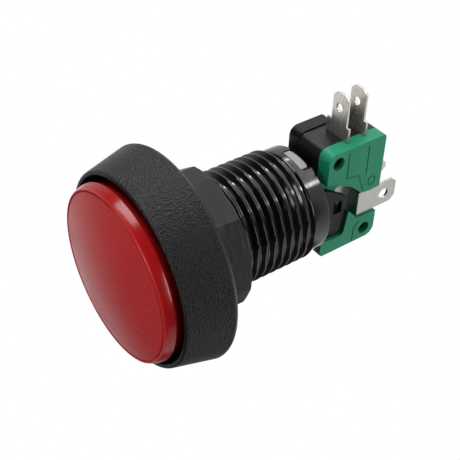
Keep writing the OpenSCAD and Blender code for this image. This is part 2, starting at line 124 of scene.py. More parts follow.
def latheProfile(points, steps, closed=True):
    # a section in (radius, height), in millimetres, spun round the Z axis
    count = len(points)
    edges = [(i, i + 1) for i in range(count - 1)]
    if closed:
        edges.append((count - 1, 0))
    obj = addMesh("section", [(r * mm, 0, z * mm) for r, z in points], edges)
    editAll(obj)
    bpy.ops.mesh.spin(steps=steps, angle=fullTurn, center=(0, 0, 0), axis=(0, 0, 1))
    leaveEdit()
    cleanNormals(obj)
    return obj


def addScrew(obj, name, rise, turns, steps):
    screw = obj.modifiers.new(name, "SCREW")
    screw.axis = "Z"
    screw.angle = fullTurn
    screw.screw_offset = rise * mm
    screw.iterations = turns
    screw.steps = steps
    screw.render_steps = steps
    return screw


def cutAway(obj, cutter, name):
    cut = obj.modifiers.new(name, "BOOLEAN")
    cut.operation = "DIFFERENCE"
    cut.solver = "EXACT"
    cut.object = cutter
    applyAll(obj)
    bpy.data.objects.remove(cutter)


def arcPoints(cr, cz, radius, start, end, count=6):
    out = []
    for i in range(count + 1):
        a = math.radians(start + (end - start) * i / count)
        out.append((cr + radius * math.cos(a), cz + radius * math.sin(a)))
    return out


def copyNode(node):
    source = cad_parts[node]
    obj = source.copy()
    obj.data = source.data.copy()
    obj.parent = None
    obj.matrix_world = Matrix.Identity(4)
    bpy.context.scene.collection.objects.link(obj)
    editAll(obj)
    bpy.ops.mesh.remove_doubles(threshold=mergeDistance)
    leaveEdit()
    return obj


def finishPiece(obj, name, body, material, stands=()):
    obj.name = name
    obj.data.name = name
    pick(obj)
    bpy.ops.object.transform_apply(location=True, rotation=True, scale=True)
    obj.data.materials.clear()
    obj.data.materials.append(material)
    if stands:
        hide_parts(*stands)
    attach(obj, body)


# Shared effects, each built once as a node group

def newGroup(name, inputs, outputs):
    group = bpy.data.node_groups.new(name, "ShaderNodeTree")
    for label, kind, value in inputs:
        socket = group.interface.new_socket(name=label, in_out="INPUT", socket_type=kind)
        if value is not None:
            socket.default_value = value
    for label in outputs:
        group.interface.new_socket(name=label, in_out="OUTPUT", socket_type="NodeSocketFloat")
    start = group.nodes.new("NodeGroupInput")
    end = group.nodes.new("NodeGroupOutput")
    return group, start, end


def setInputs(node, values):
    for label, value in values.items():
        node.inputs[label].default_value = value


def addNoise(tree, vector, **values):
    node = tree.nodes.new("ShaderNodeTexNoise")
    setInputs(node, values)
    tree.links.new(vector, node.inputs["Vector"])
    return node


def stretched(tree, vector, scale):
    node = tree.nodes.new("ShaderNodeVectorMath")
    node.operation = "MULTIPLY"
    node.inputs[1].default_value = scale
    tree.links.new(vector, node.inputs[0])
    return node.outputs[0]


def mathNode(tree, operation, a, b, clamp=False):
    node = tree.nodes.new("ShaderNodeMath")
    node.operation = operation
    node.use_clamp = clamp
    for socket, value in zip(node.inputs, (a, b)):
        if hasattr(value, "is_linked"):
            tree.links.new(value, socket)
        else:
            socket.default_value = value
    return node.outputs[0]


def dotNode(tree, a, b):
    node = tree.nodes.new("ShaderNodeVectorMath")
    node.operation = "DOT_PRODUCT"
    for socket, value in zip(node.inputs, (a, b)):
        if hasattr(value, "is_linked"):
            tree.links.new(value, socket)
        else:
            socket.default_value = value
    return node.outputs["Value"]


# Scales are times the group's Size, and the two shares add up to the height
grainMix = {"smoothness": 0.6, "fineScale": 1.7, "wideScale": 0.12, "cellShare": 0.75,
            "fineShare": 0.6}


def makeGrainGroup(s):
    # leather-like grain of a spark-eroded mould, as a height, with wide soft patches
    group, start, end = newGroup(
        "mouldGrain",
        [("Vector", "NodeSocketVector", None), ("Size", "NodeSocketFloat", 1600.0)],
        ["Height", "Patches"])
    vector, size = start.outputs["Vector"], start.outputs["Size"]
    cells = group.nodes.new("ShaderNodeTexVoronoi")
    cells.feature = "SMOOTH_F1"
    setInputs(cells, {"Smoothness": s["smoothness"]})
    group.links.new(vector, cells.inputs["Vector"])
    group.links.new(size, cells.inputs["Scale"])
    fine = addNoise(group, vector, Detail=4.0, Roughness=0.6)
    group.links.new(mathNode(group, "MULTIPLY", size, s["fineScale"]), fine.inputs["Scale"])
    wide = addNoise(group, vector, Detail=3.0)
    group.links.new(mathNode(group, "MULTIPLY", size, s["wideScale"]), wide.inputs["Scale"])
    height = mathNode(group, "ADD",
                      mathNode(group, "MULTIPLY", cells.outputs["Distance"], s["cellShare"]),
                      mathNode(group, "MULTIPLY", fine.outputs["Fac"], s["fineShare"]))
    group.links.new(height, end.inputs["Height"])
    group.links.new(wide.outputs["Fac"], end.inputs["Patches"])
    return group


marksMix = {"stretch": (1.0, 0.35, 4.0), "streaks": (0.5, 0.72), "spots": (0.52, 0.75),
            "spotScale": 1.4}


def makeMarksGroup(s):
    # fine handling marks: short streaks and a few dull spots, as masks from 0 to 1
    group, start, end = newGroup(
        "handlingMarks",
        [("Vector", "NodeSocketVector", None), ("Size", "NodeSocketFloat", 220.0)],
        ["Streaks", "Spots"])
    vector, size = start.outputs["Vector"], start.outputs["Size"]
    streaks = addNoise(group, stretched(group, vector, s["stretch"]), Detail=5.0, Roughness=0.65)
    group.links.new(size, streaks.inputs["Scale"])
    spots = addNoise(group, vector, Detail=2.0)
    group.links.new(mathNode(group, "MULTIPLY", size, s["spotScale"]), spots.inputs["Scale"])
    for noise, (low, high), target in ((streaks, s["streaks"], "Streaks"),
                                       (spots, s["spots"], "Spots")):
        ramp = group.nodes.new("ShaderNodeMapRange")
        setInputs(ramp, {"From Min": low, "From Max": high})
        group.links.new(noise.outputs["Fac"], ramp.inputs["Value"])
        group.links.new(ramp.outputs["Result"], end.inputs[target])
    return group


rolledMix = {"stretch": (0.04, 2.2, 1.0), "cloudScale": 260.0}


def makeRolledGroup(s):
    # fine lines and cloudy tarnish of rolled sheet metal
    group, start, end = newGroup(
        "rolledLines",
        [("Vector", "NodeSocketVector", None), ("Size", "NodeSocketFloat", 900.0)],
        ["Lines", "Tarnish"])
    vector = start.outputs["Vector"]
    lines = addNoise(group, stretched(group, vector, s["stretch"]), Detail=4.0)
    group.links.new(start.outputs["Size"], lines.inputs["Scale"])
    cloud = addNoise(group, vector, Detail=5.0, Scale=s["cloudScale"])
    group.links.new(lines.outputs["Fac"], end.inputs["Lines"])
    group.links.new(cloud.outputs["Fac"], end.inputs["Tarnish"])
    return group


def makeEdgeGroup():
    # edges lighter partly from wear and partly as a painted highlight, from the angle between
    # the rounded and the plain normal
    group, start, end = newGroup(
        "wornAndLitEdges",
        [("Radius", "NodeSocketFloat", 0.0003), ("Gain", "NodeSocketFloat", 3.0)],
        ["Edge"])
    rounded = group.nodes.new("ShaderNodeBevel")
    rounded.samples = 4
    group.links.new(start.outputs["Radius"], rounded.inputs["Radius"])
    plain = group.nodes.new("ShaderNodeNewGeometry")
    turned = mathNode(group, "SUBTRACT", 1.0,
                      dotNode(group, rounded.outputs["Normal"], plain.outputs["Normal"]))
    group.links.new(mathNode(group, "MULTIPLY", turned, start.outputs["Gain"], clamp=True),
                    end.inputs["Edge"])
    return group


mouldGrain = makeGrainGroup(grainMix)
handlingMarks = makeMarksGroup(marksMix)
rolledLines = makeRolledGroup(rolledMix)
wornAndLitEdges = makeEdgeGroup()
print("effects built")


# Materials

def newMaterial(name):
    material = bpy.data.materials.new(name)
    material.use_nodes = True
    tree = material.node_tree
    shader = tree.nodes["Principled BSDF"]
    coords = tree.nodes.new("ShaderNodeTexCoord")
    return material, tree, shader, coords.outputs["Object"]


def addGroup(tree, group, vector=None, **values):
    node = tree.nodes.new("ShaderNodeGroup")
    node.node_tree = group
    if vector is not None:
        tree.links.new(vector, node.inputs["Vector"])
    setInputs(node, values)
    return node


def mixColour(tree, factor, low, high):
    node = tree.nodes.new("ShaderNodeMix")
    node.data_type = "RGBA"
    tree.links.new(factor, node.inputs["Factor"])
    for label, value in (("A", low), ("B", high)):
        socket = [s for s in node.inputs if s.name == label and s.type == "RGBA"][0]
        if hasattr(value, "is_linked"):
            tree.links.new(value, socket)
        else:
            socket.default_value = (*value, 1.0)
    return [s for s in node.outputs if s.type == "RGBA"][0]


def mapRange(tree, value, low, high):
    node = tree.nodes.new("ShaderNodeMapRange")
    tree.links.new(value, node.inputs["Value"])
    setInputs(node, {"To Min": low, "To Max": high})
    return node.outputs["Result"]


def addRoughness(tree, shader, low, mask, share):
    added = mathNode(tree, "MULTIPLY", mask, share)
    tree.links.new(mathNode(tree, "ADD", low, added, clamp=True), shader.inputs["Roughness"])


def addBump(tree, shader, height, strength, distance):
    node = tree.nodes.new("ShaderNodeBump")
    setInputs(node, {"Strength": strength, "Distance": distance})
    tree.links.new(height, node.inputs["Height"])
    tree.links.new(node.outputs["Normal"], shader.inputs["Normal"])


mouldedWear = {"edgeRadius": 0.00025, "roughSpread": 0.05, "grainStrength": 0.6}


def mouldedPlastic(name, base, dull, rough, grain, depth, marks=0.05, wornAndLitEdge=None, wearAndHighlight=0.0,
                   shine=0.5):
    material, tree, shader, vector = newMaterial(name)
    mould = addGroup(tree, mouldGrain, vector, Size=grain)
    scuffs = addGroup(tree, handlingMarks, vector)
    colour = mixColour(tree, mould.outputs["Patches"], base, dull)
    if wornAndLitEdge:
        edges = addGroup(tree, wornAndLitEdges, Radius=mouldedWear["edgeRadius"], Gain=wearAndHighlight)
        # the edges' lighter colour is partly wear and partly a painted highlight
        colour = mixColour(tree, edges.outputs["Edge"], colour, wornAndLitEdge)
    tree.links.new(colour, shader.inputs["Base Color"])
    spread = mouldedWear["roughSpread"]
    low = mapRange(tree, mould.outputs["Height"], rough - spread, rough + spread)
    addRoughness(tree, shader, low, scuffs.outputs["Streaks"], marks)
    setInputs(shader, {"Specular IOR Level": shine})
    addBump(tree, shader, mould.outputs["Height"], mouldedWear["grainStrength"], depth)
    return material


sheetWear = {"smoother": 0.06, "rougher": 0.1, "spotSize": 500.0, "spots": 0.12,
             "lineStrength": 0.3, "lineDepth": 0.00001}


def sheetMetal(name, base, dull, rough, lines=900.0, metallic=1.0):
    material, tree, shader, vector = newMaterial(name)
    rolled = addGroup(tree, rolledLines, vector, Size=lines)
    scuffs = addGroup(tree, handlingMarks, vector, Size=sheetWear["spotSize"])
    tree.links.new(mixColour(tree, rolled.outputs["Tarnish"], base, dull),
                   shader.inputs["Base Color"])
    low = mapRange(tree, rolled.outputs["Lines"], rough - sheetWear["smoother"],
                   rough + sheetWear["rougher"])
    addRoughness(tree, shader, low, scuffs.outputs["Spots"], sheetWear["spots"])
    setInputs(shader, {"Metallic": metallic})
    addBump(tree, shader, rolled.outputs["Lines"], sheetWear["lineStrength"],
            sheetWear["lineDepth"])
    return material


# Colour of the plastic and of its dull patches, roughness, scale and depth of the
# mould's grain, handling marks, edges lightened partly by wear and partly as a painted
# highlight, and shine
plasticFinishes = {
    "bezelBlack": {"base": (0.0012, 0.0012, 0.0012), "dull": (0.002, 0.002, 0.002),
                   "rough": 0.33, "grain": 2400.0, "depth": 0.00035, "shine": 0.3},
    "barrelBlack": {"base": (0.001, 0.001, 0.001), "dull": (0.0014, 0.0014, 0.0014),
                    "rough": 0.12, "grain": 900.0, "depth": 0.000001, "marks": 0.04},
    # the nut's lighter edges are partly wear and partly a painted highlight
    "nutBlack": {"base": (0.003, 0.003, 0.003), "dull": (0.004, 0.004, 0.004), "rough": 0.3,
                 "grain": 1300.0, "depth": 0.00002, "marks": 0.25,
                 "wornAndLitEdge": (0.05, 0.05, 0.048), "wearAndHighlight": 8.0, "shine": 0.44},
    "holderBlack": {"base": (0.0015, 0.0015, 0.0015), "dull": (0.0025, 0.0025, 0.0025),
                    "rough": 0.4, "grain": 1200.0, "depth": 0.00002, "shine": 0.2},
    "baseBlack": {"base": (0.003, 0.0028, 0.0028), "dull": (0.005, 0.0047, 0.0047),
                  "rough": 0.4, "grain": 1100.0, "depth": 0.00002, "shine": 0.3},
    "coverGreen": {"base": (0.007, 0.2, 0.106), "dull": (0.01, 0.24, 0.128), "rough": 0.45,
                   "grain": 1300.0, "depth": 0.00003, "shine": 0.28},
    "plungerWhite": {"base": (0.23, 0.24, 0.255), "dull": (0.29, 0.3, 0.315), "rough": 0.4,
                     "grain": 900.0, "depth": 0.00001},
    "discWhite": {"base": (0.78, 0.78, 0.77), "dull": (0.84, 0.84, 0.83), "rough": 0.5,
                  "grain": 900.0, "depth": 0.00001},
    "buttonBlack": {"base": (0.006, 0.006, 0.006), "dull": (0.009, 0.009, 0.009),
                    "rough": 0.35, "grain": 900.0, "depth": 0.00001},
}

# Colour of the metal and of its tarnish, roughness and scale of the rolled lines
metalFinishes = {
    "platedSheet": {"base": (0.66, 0.64, 0.59), "dull": (0.52, 0.5, 0.46), "rough": 0.24,
                    "metallic": 0.9},
    "wideSheet": {"base": (0.5, 0.5, 0.47), "dull": (0.4, 0.395, 0.37), "rough": 0.28,
                  "metallic": 0.9},
    "lampSheet": {"base": (0.66, 0.63, 0.56), "dull": (0.52, 0.49, 0.42), "rough": 0.3},
    "springSteel": {"base": (0.55, 0.56, 0.58), "dull": (0.42, 0.43, 0.45), "rough": 0.25,
                    "lines": 1500.0},
    "leafCopper": {"base": (0.7, 0.42, 0.26), "dull": (0.55, 0.32, 0.2), "rough": 0.3},
    "contactSilver": {"base": (0.82, 0.82, 0.81), "dull": (0.68, 0.68, 0.67), "rough": 0.25},
}

plastics = {name: mouldedPlastic(name, **finish) for name, finish in plasticFinishes.items()}
metals = {name: sheetMetal(name, **finish) for name, finish in metalFinishes.items()}

# The dome's finish takes over from the shoulder's between two heights, in metres; the dome's
# paler red is painted light from the white disc beneath, and the shoulder's deeper red is
# painted shade that also fills the groove
capFinish = {
    "dome": (0.36, 0.018, 0.02), "domePalePatches": (0.43, 0.025, 0.027),
    "shoulder": (0.27, 0.004, 0.005), "changeLow": 0.0137, "changeHigh": 0.0143,
    "shoulderRough": 0.2, "domeRough": 0.24, "marksSize": 160.0, "marks": 0.1,
    "patches": 500.0, "shine": 0.32, "milk": 0.25, "milkRadius": (0.0025, 0.0006, 0.0006),
    "scratch": 0.15, "scratchDepth": 0.000008,
}


def makeCapRed(s):
    # clear red plastic, glossier on the shoulder: painted shade makes the shoulder and the
    # groove deep red, and painted light from the white disc beneath makes the dome paler
    material, tree, shader, vector = newMaterial("capRed")
    scuffs = addGroup(tree, handlingMarks, vector, Size=s["marksSize"])
    mould = addGroup(tree, mouldGrain, vector, Size=s["patches"])
    dome = mixColour(tree, mould.outputs["Patches"], s["dome"], s["domePalePatches"])
    place = tree.nodes.new("ShaderNodeSeparateXYZ")
    tree.links.new(vector, place.inputs[0])
    change = tree.nodes.new("ShaderNodeMapRange")
    setInputs(change, {"From Min": s["changeLow"], "From Max": s["changeHigh"]})
    tree.links.new(place.outputs["Z"], change.inputs["Value"])
    # painted shade: deep red below the dome's edge, in the groove and on the shoulder; painted
    # light: paler red over the white disc
    tree.links.new(mixColour(tree, change.outputs["Result"], s["shoulder"], dome),
                   shader.inputs["Base Color"])
    low = mapRange(tree, change.outputs["Result"], s["shoulderRough"], s["domeRough"])
    addRoughness(tree, shader, low, scuffs.outputs["Streaks"], s["marks"])
    setInputs(shader, {"Specular IOR Level": s["shine"], "Subsurface Weight": s["milk"],
                       "Subsurface Radius": s["milkRadius"], "Subsurface Scale": 1.0})
    addBump(tree, shader, scuffs.outputs["Streaks"], s["scratch"], s["scratchDepth"])
    return material


glassFinish = {"colour": (0.96, 0.96, 0.95, 1.0), "clear": 0.02, "spotted": 0.08, "bend": 1.5}


def makeLampGlass(s):
    material, tree, shader, vector = newMaterial("lampGlass")
    scuffs = addGroup(tree, handlingMarks, vector)
    tree.links.new(mapRange(tree, scuffs.outputs["Spots"], s["clear"], s["spotted"]),
                   shader.inputs["Roughness"])
    setInputs(shader, {"Base Color": s["colour"], "Transmission Weight": 1.0, "IOR": s["bend"]})
    return material


capRed = makeCapRed(capFinish)
lampGlass = makeLampGlass(glassFinish)
print("materials built")


# Bezel and barrel: one moulding, with a true helical thread

bodySizes = {
    "steps": 192,
    # bezel: its side tapers over taperHeight, and the round at the back stops
    # backTurn degrees short of that taper
    "bezelRadius": 23.978, "bezelFront": 21.7, "bezelHeight": 11.0, "taperHeight": 9.2,
    "backRound": 1.3, "backTurn": 16, "frontRound": 0.5, "rimRound": 0.2,
    "underside": 19.0, "seat": 16.52, "seatDepth": 0.5, "seatEdge": 0.1,
    # cup and bore
    "cupRadius": 20.65, "cupStep": 5.0, "floor": 2.0, "floorRound": 0.8,
    "bore": 10.9, "boreRound": 0.15, "boreSteps": (-10.0, -20.0),
    # neck, thread and collar: the thread starts runIn over the neck's end and is
    # cut off at trim below it, and at trim over its own end
    "thread": 13.0, "root": 12.05, "pitch": 2.2, "crest": 0.34, "valley": 0.36, "turns": 12,
    "sleeve": 11.7, "flat": 12.52, "neckEnd": -4.1, "threadEnd": -28.3, "runOut": 0.3,
    "core": 0.1, "trim": 0.15, "runIn": 0.6,
    "collar": 12.35, "collarEdge": 0.05, "endRound": 0.35, "end": -32.7,
    # the two slots in the collar, whose cutter reaches slotSpare past its end
    "slotTurn": -6.5, "slotAngle": 31.0, "slotTop": -29.95, "slotRadius": 12.0,
    "slotChord": 12.6, "slotDepth": 4, "slotSpare": 1,
}


def makeThreadedBody(s):
    slope = math.degrees(math.atan((s["bezelRadius"] - s["bezelFront"]) / s["taperHeight"]))
    bore, small = s["bore"], s["boreRound"]
    points = [(bore, s["end"] + small)]
    points += arcPoints(bore + small, s["end"] + small, small, 180, 270, 3)[1:]
    points += arcPoints(s["collar"] - s["endRound"], s["end"] + s["endRound"], s["endRound"],
                        270, 360, 4)
    core, runOut = s["root"] - s["core"], s["runOut"]
    points += [(s["collar"], s["threadEnd"] - runOut),
               (s["collar"] - s["collarEdge"], s["threadEnd"]),
               (core, s["threadEnd"] + runOut), (core, s["neckEnd"] - runOut),
               (s["thread"], s["neckEnd"]), (s["thread"], s["seatDepth"]),
               (s["seat"] - s["seatEdge"], s["seatDepth"]),
               (s["seat"], s["seatDepth"] - s["seatEdge"]),
               (s["seat"], 0.0), (s["underside"], 0.0)]
    back, front, rim = s["backRound"], s["frontRound"], s["rimRound"]
    points += arcPoints(s["bezelRadius"] - back, back, back, -90, slope - s["backTurn"], 8)
    points += arcPoints(s["bezelFront"] - front, s["bezelHeight"] - front, front, slope, 90, 6)
    points += arcPoints(s["cupRadius"] + rim, s["bezelHeight"] - rim, rim, 90, 180, 4)
    corner, low = s["floorRound"], s["floor"] + s["floorRound"]
    points += [(s["cupRadius"], s["cupStep"]), (s["cupRadius"], low)]
    points += arcPoints(s["cupRadius"] - corner, low, corner, 0, -90, 4)[1:]
    points += [(bore, z) for z in (s["floor"], *s["boreSteps"])]
    obj = latheProfile(points, s["steps"])
    flatNormals(obj)
    return obj


def threadSection(s):
    # one pitch of the thread's section: a narrow crest with eased corners, two
    # straight flanks and a narrow valley
    fillet, ease, easeDepth, lip = 0.06, 0.1, 0.12, 0.02
    inner, outer, crest = s["root"], s["thread"], s["crest"]
    flank = (s["pitch"] - crest - s["valley"]) / 2
    return [(inner, 0.0), (inner + fillet, fillet), (outer - easeDepth, flank - ease),
            (outer - lip, flank), (outer, flank + fillet), (outer, flank + crest - fillet),
            (outer - lip, flank + crest), (outer - easeDepth, flank + crest + ease),
            (inner + fillet, 2 * flank + crest - fillet), (inner, 2 * flank + crest),
            (inner, s["pitch"])]


def makeHelix(s):
    section = threadSection(s)
    bottom = s["neckEnd"] + s["runIn"] - s["pitch"]
    obj = addMesh("threadSection", [(r * mm, 0, (bottom + z) * mm) for r, z in section],
                  [(i, i + 1) for i in range(len(section) - 1)])
    screw = addScrew(obj, "thread", -s["pitch"], s["turns"], s["steps"])
    screw.use_merge_vertices = True
    screw.merge_threshold = 0.000003
    screw.use_smooth_shade = True
    applyAll(obj)
    cleanNormals(obj)
    # the thread's run-outs are cut off level with the neck and the collar
    for height, above in ((s["neckEnd"] - s["trim"], True), (s["threadEnd"] + s["trim"], False)):
        editAll(obj)
        bpy.ops.mesh.bisect(plane_co=(0, 0, height * mm), plane_no=(0, 0, 1),
                            clear_outer=above, clear_inner=not above)
        leaveEdit()
    closeSleeve(obj, s["sleeve"] * mm)
    lowerFlats(obj, s["root"] * mm, s["thread"] * mm, s["flat"] * mm)
    flatNormals(obj)
    return obj


def closeSleeve(obj, sleeve):
    # the cut ends are turned inwards and joined, so that the thread is a closed sleeve
    pick(obj)
    bpy.ops.object.mode_set(mode="EDIT")
    bpy.ops.mesh.select_all(action="DESELECT")
    bpy.ops.mesh.select_mode(type="EDGE")
    bpy.ops.mesh.select_non_manifold()
    bpy.ops.mesh.extrude_edges_move()
    leaveEdit()
    for v in obj.data.vertices:
        if v.select:
            radius = math.hypot(v.co.x, v.co.y)
            v.co.x *= sleeve / radius
            v.co.y *= sleeve / radius
    bpy.ops.object.mode_set(mode="EDIT")
    bpy.ops.mesh.bridge_edge_loops()
    bpy.ops.mesh.select_mode(type="VERT")
    leaveEdit()
    cleanNormals(obj)


def lowerFlats(obj, inner, outer, flat):
    # two flats run along the thread, where its turns stand less high
    for v in obj.data.vertices:
        radius = math.hypot(v.co.x, v.co.y)
        limit = flat * radius / max(abs(v.co.y), 0.000001)
        if limit < outer and radius >= inner:
            lower = (inner + (radius - inner) * max(limit - inner, 0) / (outer - inner)) / radius
            v.co.x *= lower
            v.co.y *= lower


def cutSlots(obj, s):
    width = 2 * s["slotChord"] * math.sin(math.radians(s["slotAngle"] / 2))
    for turn in (s["slotTurn"], s["slotTurn"] + 180):
        a = math.radians(turn)
        deselectAll()
        bpy.ops.mesh.primitive_cube_add(
            size=1, rotation=(0, 0, a),
            location=(s["slotRadius"] * math.cos(a) * mm, s["slotRadius"] * math.sin(a) * mm,
                      (s["slotTop"] + s["end"] - s["slotSpare"]) / 2 * mm),
            scale=(s["slotDepth"] * mm, width * mm,
                   (s["slotTop"] - s["end"] + s["slotSpare"]) * mm))
        cutAway(obj, bpy.context.object, "slot")


threadedBody = makeThreadedBody(bodySizes)
cutSlots(threadedBody, bodySizes)
finishPiece(threadedBody, "bezelAndBarrel", "housing", plastics["bezelBlack"],
            ["threaded_body"])
threadedBody.data.materials.append(plastics["barrelBlack"])
for face in threadedBody.data.polygons:
    if face.center.z < -0.1 * mm:  # the grain stops at the bezel's seat
        face.material_index = 1
finishPiece(makeHelix(bodySizes), "barrelThread", "housing", plastics["barrelBlack"])
print("threaded body made")


# Red cap, turned

capSizes = {
    "steps": 160, "domeEdge": 18.25, "domeZ": 14.2, "rise": 1.9, "domeSteps": 20,
    # groove and lip, in (outwards, upwards) from the dome's edge
    "groove": ((0.06, -0.26), (0.14, -0.34), (0.26, -0.32)),
    "lipPlace": (0.52, -0.18), "lipRadius": 0.21,
    # the shoulder swells a little between the lip and the foot
    "side": (0.72, -0.1), "sideSteps": 6, "sideSwell": 0.08, "sideInset": 0.02,
    "shoulder": 19.65, "foot": 11.6, "footRise": 0.5, "footRound": 0.4,
    "skirt": 18.95, "skirtEnd": 8.0, "skirtEdge": 0.1, "wall": 1.1,
    "insideTop": 12.3, "insideStep": (17.2, 12.9), "insideEdge": 16.6, "insideSteps": 16,
}


def makeLensCap(s):
    edge, rise, top = s["domeEdge"], s["rise"], s["domeZ"]
    big = (edge * edge + rise * rise) / (2 * rise)
    centre = top + rise - big
    points = []
    for i in range(s["domeSteps"] + 1):
        r = edge * i / s["domeSteps"]
        points.append((r, centre + math.sqrt(big * big - r * r)))
    # a groove runs round the dome, inside the shoulder's rounded lip
    points += [(edge + out, top + up) for out, up in s["groove"]]
    points += arcPoints(edge + s["lipPlace"][0], top + s["lipPlace"][1], s["lipRadius"],
                        160, 20, 7)
    for i in range(1, s["sideSteps"]):
        t = i / s["sideSteps"]
        r = ((edge + s["side"][0]) * (1 - t) + (s["shoulder"] - s["sideInset"]) * t
             + s["sideSwell"] * math.sin(math.pi * t))
        z = (top + s["side"][1]) * (1 - t) + (s["foot"] + s["footRise"]) * t
        points.append((r, z))
    corner, small = s["footRound"], s["skirtEdge"]
    points += arcPoints(s["shoulder"] - corner, s["foot"] + corner, corner, 12, -90, 6)
    inside = s["skirt"] - s["wall"]
    points += [(s["skirt"] + small, s["foot"]), (s["skirt"], s["foot"] - small),
               (s["skirt"], s["skirtEnd"] + small), (s["skirt"] - small, s["skirtEnd"]),
               (inside, s["skirtEnd"]), (inside, s["insideTop"]), s["insideStep"]]
    for i in range(s["insideSteps"], -1, -1):
        r = s["insideEdge"] * i / s["insideSteps"]
        points.append((r, centre + math.sqrt((big - s["wall"]) ** 2 - r * r)))
    obj = latheProfile(points, s["steps"], closed=False)
    flatNormals(obj)
    return obj


finishPiece(makeLensCap(capSizes), "redCap", "cap", capRed, ["lens_cap"])
print("cap made")


# Nut, holder, switch and terminals: the CAD forms with moulded or sheared edges.
# Each has its name, body, material and slot, the width and segments of its edges'
# rounds and, for the nut, the smallest angle that is rounded

edgeSizes = {
    "panel_nut": ("panelNut", "nut", plastics["nutBlack"], "nut_black", 0.3, 3, 20),
    "plunger": ("plungerBody", "cap", plastics["plungerWhite"], "inner_white", 0.12, 2),
    "lamp_holder": ("lampHolder", "housing", plastics["holderBlack"], "holder_black", 0.15, 2),
    "switch_base": ("switchBase", "housing", plastics["baseBlack"], "base_black", 0.25, 3),
    "switch_cover": ("switchCover", "housing", plastics["coverGreen"], "cover_green", 0.2, 3),
    "common_terminal": ("commonTerminal", "housing", metals["wideSheet"], "terminal_plated",
                        0.06, 2),
    "normally_closed_terminal": ("closedTerminal", "housing", metals["platedSheet"],
                                 "terminal_plated", 0.06, 2),
    "normally_open_terminal": ("openTerminal", "housing", metals["platedSheet"],
                               "terminal_plated", 0.06, 2),
    "lamp_contact_front": ("lampContactFront", "housing", metals["lampSheet"], "contact_brass",
                           0.05, 2),
    "lamp_contact_rear": ("lampContactRear", "housing", metals["lampSheet"], "contact_brass",
                          0.05, 2),
}

# Grooves in the cover's face, as paths in (length, depth) from the switch's middle
coverMarks = {
    "frame": [(13.0, 5.6), (6.1, 5.65), (5.5, 9.2), (0.6, 11.0)],
    "bar": [(12.7, 11.4), (5.4, 11.4)],
    "ring": [(2.5 + 1.2 * math.sin(math.radians(20 * i)),
              13.4 + 1.0 * math.cos(math.radians(20 * i))) for i in range(19)],
    "pegArc": [(-11.1 + 3.4 * math.cos(math.radians(a)), 13.1 + 3.4 * math.sin(math.radians(a)))
               for a in range(-34, -100, -8)] + [(-13.6, 9.6)],
}
grooveSizes = {"width": 0.32, "depth": 0.2, "x": 1.15, "face": -8.4, "z": -34.4}


def grooveFaces(start, count, closed):
    # a square tube of four points at each place on the path, with its ends closed
    faces = []
    for i in range(count if closed else count - 1):
        a, b = start + 4 * i, start + 4 * ((i + 1) % count)
        faces += [(a, b, b + 1, a + 1), (a + 2, a + 3, b + 3, b + 2), (a, a + 2, b + 2, b),
                  (a + 1, b + 1, b + 3, a + 3)]
    if not closed:
        last = start + 4 * (count - 1)
        faces += [(start, start + 1, start + 3, start + 2),
                  (last, last + 2, last + 3, last + 1)]
    return faces


def engrave(obj, marks, s):
    verts, faces = [], []
    for path in marks.values():
        points = [Vector(p) for p in path]
        closed = (points[0] - points[-1]).length < 0.01
        if closed:
            points = points[:-1]
        count, start = len(points), len(verts)
        for i, point in enumerate(points):
            after = points[(i + 1) % count] if closed or i < count - 1 else point
            before = points[i - 1] if closed or i > 0 else point
            along = (after - before).normalized()
            across = Vector((-along.y, along.x)) * s["width"] / 2
            for side in (1, -1):
                for y in (s["face"] - s["depth"], s["face"] + s["depth"]):
                    spot = point + side * across
                    verts.append(((s["x"] + spot.x) * mm, y * mm, (s["z"] - spot.y) * mm))
        faces += grooveFaces(start, count, closed)
    cutter = addMesh("grooves", verts, [], faces)
    cleanNormals(cutter)
    cutAway(obj, cutter, "grooves")
    flatNormals(obj)


for node, (name, body, material, slot, width, segments, *angle) in edgeSizes.items():
    piece = copyNode(node)
    softEdges(piece, width * mm, segments, *angle)
    if node == "switch_cover":
        engrave(piece, coverMarks, grooveSizes)
    finishPiece(piece, name, body, material, [node])
print("edged pieces made")


# Return spring: round wire wound in a helix

springSizes = {"radius": 13.0, "wire": 0.7, "low": 2.02, "high": 7.98, "turns": 4, "sides": 12,
               "steps": 48, "travel": 2.0}


def makeReturnSpring(s):
    deselectAll()
    bpy.ops.mesh.primitive_circle_add(vertices=s["sides"], radius=s["wire"] / 2 * mm,
                                      location=(s["radius"] * mm, 0,
                                                (s["low"] + s["wire"] / 2) * mm),
                                      rotation=(math.radians(90), 0, 0))
    obj = bpy.context.object
    bpy.ops.object.transform_apply(location=True, rotation=True, scale=True)
    addScrew(obj, "coil", (s["high"] - s["low"] - s["wire"]) / s["turns"], s["turns"],
             s["steps"])
    applyAll(obj)
    editAll(obj)
    bpy.ops.mesh.fill_holes(sides=0)
    leaveEdit()
    cleanNormals(obj)
    smooth(obj, 50)
    return obj


returnSpring = makeReturnSpring(springSizes)
finishPiece(returnSpring, "returnSpring", "housing", metals["springSteel"],
            ["return_spring"])
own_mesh(returnSpring)
print("spring made")

plainNodes = {
    "diffuser_disc": plastics["discWhite"], "wedge_lamp": lampGlass,
    "switch_button": plastics["buttonBlack"],
    "contact_blade": metals["leafCopper"], "moving_contact": metals["contactSilver"],
    "normally_closed_contact": metals["contactSilver"],
    "normally_open_contact": metals["contactSilver"],
}
for node, material in plainNodes.items():
    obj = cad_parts[node]
    obj.data.materials.clear()
    obj.data.materials.append(material)
print("inner pieces finished")


# Camera at the photo's place, in millimetres, and soft lamps

cameraPlace = {"location": (131.124, -127.097, 81.896), "right": (0.02562, -0.58898, -0.80774),
               "down": (-0.76974, -0.52718, 0.35998), "forward": (-0.63785, 0.61253, -0.46686),
               "lens": 75.09, "sensor": 36, "near": 0.01, "far": 20}


